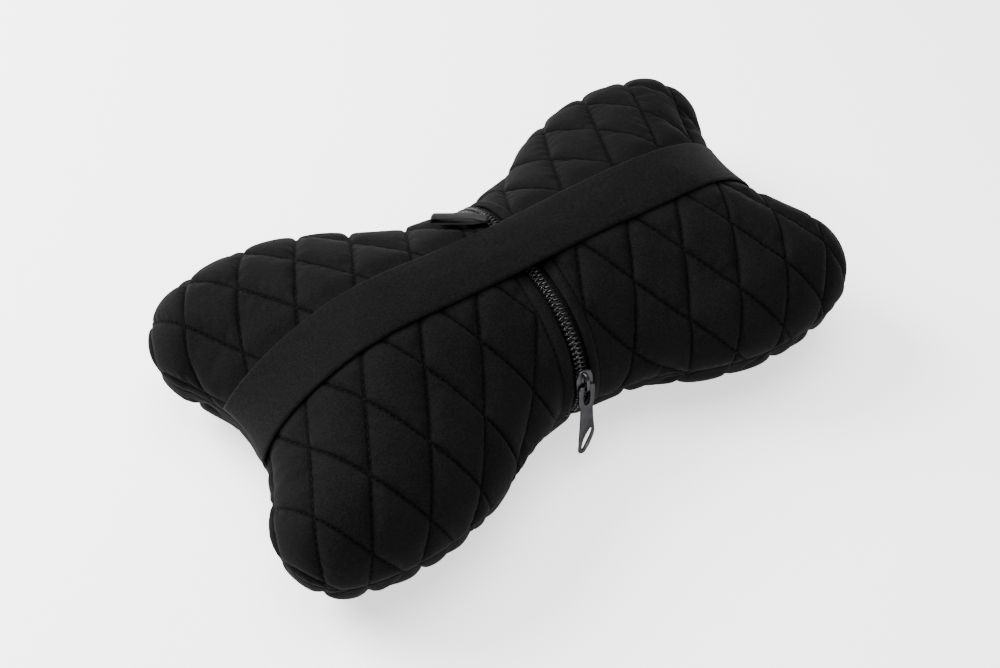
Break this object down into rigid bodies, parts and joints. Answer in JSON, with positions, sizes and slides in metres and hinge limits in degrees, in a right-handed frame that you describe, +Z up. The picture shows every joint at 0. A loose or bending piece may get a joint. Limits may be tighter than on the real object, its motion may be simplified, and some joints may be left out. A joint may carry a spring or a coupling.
{
  "type": "car neck pillow",
  "caption": "Bone-shaped quilted neck pillow for a car headrest, with a zipped cover over a stuffed inner cushion and a flat elastic strap across its back.",
  "frame": {"origin": "centre of the footprint on the floor, with the head side down", "axes": "+X along the pillow towards its right lobe, +Y towards the labelled long side, +Z up out of the zipped rear side"},
  "size_m": [0.298, 0.1697, 0.0884],
  "materials": {
    "cover_fabric": "matte black quilted cloth",
    "cushion_fabric": "plain white lining cloth",
    "zip_tape": "black woven tape",
    "zip_coil": "black nylon coil, slightly glossy",
    "zip_metal": "dark gunmetal plating, satin",
    "strap_elastic": "black ribbed elastic webbing",
    "label_ribbon": "black satin ribbon, bare"
  },
  "bodies": {
    "pillow": {"cover_rear_left": "cover_fabric", "cover_rear_right": "cover_fabric", "cover_front": "cover_fabric", "inner_cushion": "cushion_fabric", "zip_tape_left": "zip_tape", "zip_tape_right": "zip_tape", "zip_coil_left": "zip_coil", "zip_coil_right": "zip_coil", "elastic_strap": "strap_elastic", "label": "label_ribbon"},
    "slider": {"zip_slider": "zip_metal"},
    "pull": {"zip_pull": "zip_metal"}
  },
  "joints": [
    {"name": "zip_slider_travel", "type": "hinge", "parent": "pillow", "child": "slider", "pos_m": [-0.00302, -0.02038, 0.0415], "axis": [-0.9979, 0.0649, 0], "range_deg": [-10, 60]},
    {"name": "zip_pull_swing", "type": "hinge", "parent": "slider", "child": "pull", "pos_m": [-0.00559, -0.05991, 0.05227], "axis": [-0.9979, 0.0649, 0], "range_deg": [0, 165]}
  ]
}
